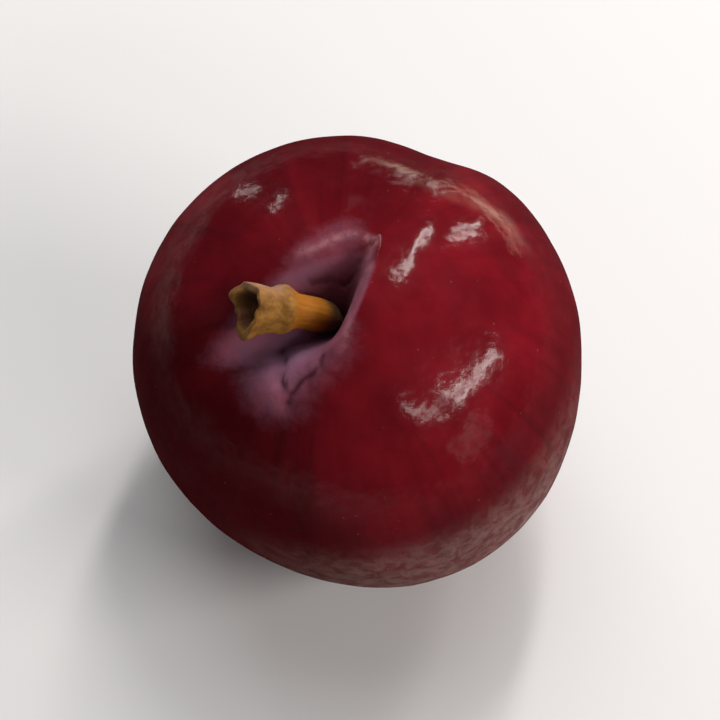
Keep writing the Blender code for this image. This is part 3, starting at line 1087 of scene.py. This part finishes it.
def skin_material():
    g = Graph("plum_skin")
    meridian = g.add("ShaderNodeSeparateXYZ")
    g.feed(meridian.inputs["Vector"], g.value("meridian", vector=True))
    from_stem = meridian.outputs["Z"]
    bloom = bloom_left(g)
    film = film_sheen_left(g)
    colour = with_bloom_and_painted_light(g, with_pores(g, skin_pigment_and_shade(g, from_stem)), bloom)
    colour = with_painted_light_and_marks(g, colour, film)
    rough = g.smooth(g.noise(*ROUGH_PATCHES), *ROUGH_RANGE)
    gloss = skin_gloss(g, bloom, film, from_stem)
    bump = skin_bump(g, bloom)
    g.set(Base_Color=colour, Roughness=rough, Coat_Weight=gloss, Normal=bump, Coat_Normal=bump)
    g.set(Coat_Roughness=COAT_ROUGHNESS, Coat_IOR=COAT_IOR)
    g.set(IOR=SKIN_IOR, Specular_IOR_Level=SKIN_SPECULAR_LEVEL)
    return g.material


# Patterns of the bark, each a noise: size of its features, detail, roughness and distortion.
FIBRE = (1.0, 5.0, 0.65, 0.3)
FIBRE_SCALE = (5.0, 5.0, 2.2)
COLLAR_PATCHES = (0.9 * MM, 4.0, 0.65)
BARK_PATCHES = (1.3 * MM, 4.0, 0.7)
CRACKS = (0.6 * MM, 3.0, 0.7)
CRUST = (0.35 * MM, 4.0, 0.7)
FIBRE_HEIGHT = 0.05 * MM
CRUST_HEIGHT = 0.06 * MM

# Ranges of the bark: where each thing starts and is full, and how little and how much it then does.
FIBRE_RANGE = (0.30, 0.70)
COLLAR_RANGE = (0.36, 0.64)
COLLAR_ALONG = (0.62, 0.70)
ROOT_SHADE_ALONG = (0.38, 0.22)
PALE_RANGE = (0.58, 0.74, 0.0, 0.35)
PALE_ALONG = (0.60, 0.80)
FLAKES_RANGE = (0.32, 0.54, 0.25, 0.95)
HOLLOW_INWARDS = (0.26, 0.44)
CRACKS_RANGE = (0.56, 0.74)
CRACKS_ALONG = (0.5, 0.7, 0.15, 0.32)
BARK_ROUGH_RANGE = (0.3, 0.7, 0.62, 0.80)
FAR_RIM_SHADE_AMOUNT = 0.75
BARK_IOR = 1.45
BARK_SPECULAR_LEVEL = 0.25


def bark_colour(g, share, fibre):
    """An orange-brown, fibrous shaft with painted shade on its root, and a paler, blotched collar."""
    shaft = g.mix(g.smooth(fibre, *FIBRE_RANGE), SHAFT_DEEP, SHAFT_PALE)
    collar = g.mix(g.smooth(g.noise(*COLLAR_PATCHES), *COLLAR_RANGE), COLLAR_DEEP, COLLAR_PALE)
    colour = g.mix(g.smooth(share, *COLLAR_ALONG), shaft, collar)
    # Painted shade on the root, where it goes down into the pit.
    return g.mix(g.smooth(share, *ROOT_SHADE_ALONG), colour, ROOT_SHADE)


def with_bark_marks_and_shade(g, colour, share):
    """Pale flakes, the dark hollow with painted shade on its far rim, and fine cracks."""
    patches = g.noise(*BARK_PATCHES)
    pale = g.times(g.smooth(patches, *PALE_RANGE), g.smooth(share, *PALE_ALONG))
    flakes = g.times(g.value("flaky"), g.smooth(patches, *FLAKES_RANGE))
    colour = g.mix(g.calculate("MAXIMUM", pale, flakes), colour, FLAKE)
    # Painted shade on the rim's far side, in the hollow's colour.
    dim = g.times(g.value("far_rim_shade"), FAR_RIM_SHADE_AMOUNT)
    hollow = g.calculate("MAXIMUM", g.smooth(g.value("cup"), *HOLLOW_INWARDS), dim)
    colour = g.mix(hollow, colour, HOLLOW)
    cracks = g.smooth(g.noise(*CRACKS), *CRACKS_RANGE)
    return g.mix(g.times(cracks, g.smooth(share, *CRACKS_ALONG)), colour, CRACK)


def stem_material():
    g = Graph("plum_stem_bark")
    share = g.value("share")
    fibre = g.noise(*FIBRE, where=g.stretched("fibre", FIBRE_SCALE))
    colour = with_bark_marks_and_shade(g, bark_colour(g, share, fibre), share)
    rough = g.smooth(fibre, *BARK_ROUGH_RANGE)
    bump = g.bump(g.noise(*CRUST), CRUST_HEIGHT, g.bump(fibre, FIBRE_HEIGHT))
    g.set(Base_Color=colour, Roughness=rough, Normal=bump)
    g.set(IOR=BARK_IOR, Specular_IOR_Level=BARK_SPECULAR_LEVEL)
    return g.material


# Floor, with its colours near the fruit and far from it, and how far out it deepens.
FLOOR_SIZE = 3.0
FLOOR_NEAR = (0.75, 0.75, 0.75)
FLOOR_FAR = (0.32, 0.32, 0.32)
FLOOR_DEEPENS = (0.09, 0.40)
FLOOR_ROUGHNESS = 0.70
FLOOR_IOR = 1.40
FLOOR_SPECULAR_LEVEL = 0.2


def floor_material():
    """Pale round the fruit, and a little deeper in tone far from it."""
    g = Graph("pale_floor")
    distance = g.add("ShaderNodeVectorMath", operation="LENGTH")
    g.feed(distance.inputs[0], g.place)
    far = g.smooth(distance.outputs["Value"], *FLOOR_DEEPENS)
    g.set(Base_Color=g.mix(far, FLOOR_NEAR, FLOOR_FAR), Roughness=FLOOR_ROUGHNESS)
    g.set(IOR=FLOOR_IOR, Specular_IOR_Level=FLOOR_SPECULAR_LEVEL)
    return g.material


# Stage

def make_floor():
    half = FLOOR_SIZE / 2
    corners = [(-half, -half, 0), (half, -half, 0), (half, half, 0), (-half, half, 0)]
    mesh = bpy.data.meshes.new("pale_floor")
    mesh.from_pydata(corners, [], [(0, 1, 2, 3)])
    floor = bpy.data.objects.new("pale_floor", mesh)
    bpy.context.scene.collection.objects.link(floor)
    mesh.materials.append(floor_material())
    return floor


def aim(obj, target):
    """Turns a light or a camera to face a place."""
    obj.rotation_euler = (Vector(target) - obj.location).to_track_quat("-Z", "Y").to_euler()


def from_direction(azimuth, elevation, distance):
    """A place that far from the fruit's middle. Azimuth 0 is the camera's side, and 90 its right."""
    azimuth = math.radians(azimuth)
    elevation = math.radians(elevation)
    level = distance * math.cos(elevation)
    height = distance * math.sin(elevation) + MIDDLE_HEIGHT
    return Vector((level * math.sin(azimuth), -level * math.cos(azimuth), height))


def add_light(name, place, size, watts, colour):
    """A soft rectangular light of that width and height, turned to face the fruit."""
    data = bpy.data.lights.new(name, "AREA")
    data.shape = "RECTANGLE"
    data.size, data.size_y = size
    data.energy = watts
    data.color = colour
    light = bpy.data.objects.new(name, data)
    light.location = place
    bpy.context.scene.collection.objects.link(light)
    aim(light, (0, 0, MIDDLE_HEIGHT))
    light.visible_camera = False
    return light


def add_lights():
    for name, azimuth, elevation, size, watts, colour, roll in WINDOWS:
        place = from_direction(azimuth, elevation, WINDOW_DISTANCE)
        window = add_light(name, place, size, watts, colour)
        window.rotation_euler.rotate_axis("Z", math.radians(roll))
    place = from_direction(OVERHEAD_AZIMUTH, OVERHEAD_ELEVATION, OVERHEAD_DISTANCE)
    overhead = add_light("overhead", place, OVERHEAD_SIZE, OVERHEAD_WATTS, COOL_WHITE)
    overhead.visible_glossy = False


def add_world():
    """A little even light from all round."""
    world = bpy.data.worlds.new("studio")
    world.use_nodes = True
    background = world.node_tree.nodes["Background"]
    background.inputs["Color"].default_value = PURE_WHITE
    background.inputs["Strength"].default_value = WORLD_STRENGTH
    bpy.context.scene.world = world


def add_camera():
    data = bpy.data.cameras.new("camera")
    camera = bpy.data.objects.new("camera", data)
    bpy.context.scene.collection.objects.link(camera)
    camera.location = from_direction(0, CAMERA_ELEVATION, CAMERA_DISTANCE)
    aim(camera, (0, 0, MIDDLE_HEIGHT))
    data.lens = data.sensor_width * CAMERA_DISTANCE / VIEW_WIDTH
    data.clip_start = CAMERA_CLIP_START
    bpy.context.scene.camera = camera


add_camera()
fruit = make_fruit()
fruit.data.materials.append(skin_material())
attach(fruit, "root")
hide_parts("fruit")

stem = make_stem()
stem.data.materials.append(stem_material())
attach(stem, "root")
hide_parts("stem")

make_floor()
add_lights()
add_world()
bpy.context.scene.view_settings.view_transform = "Standard"
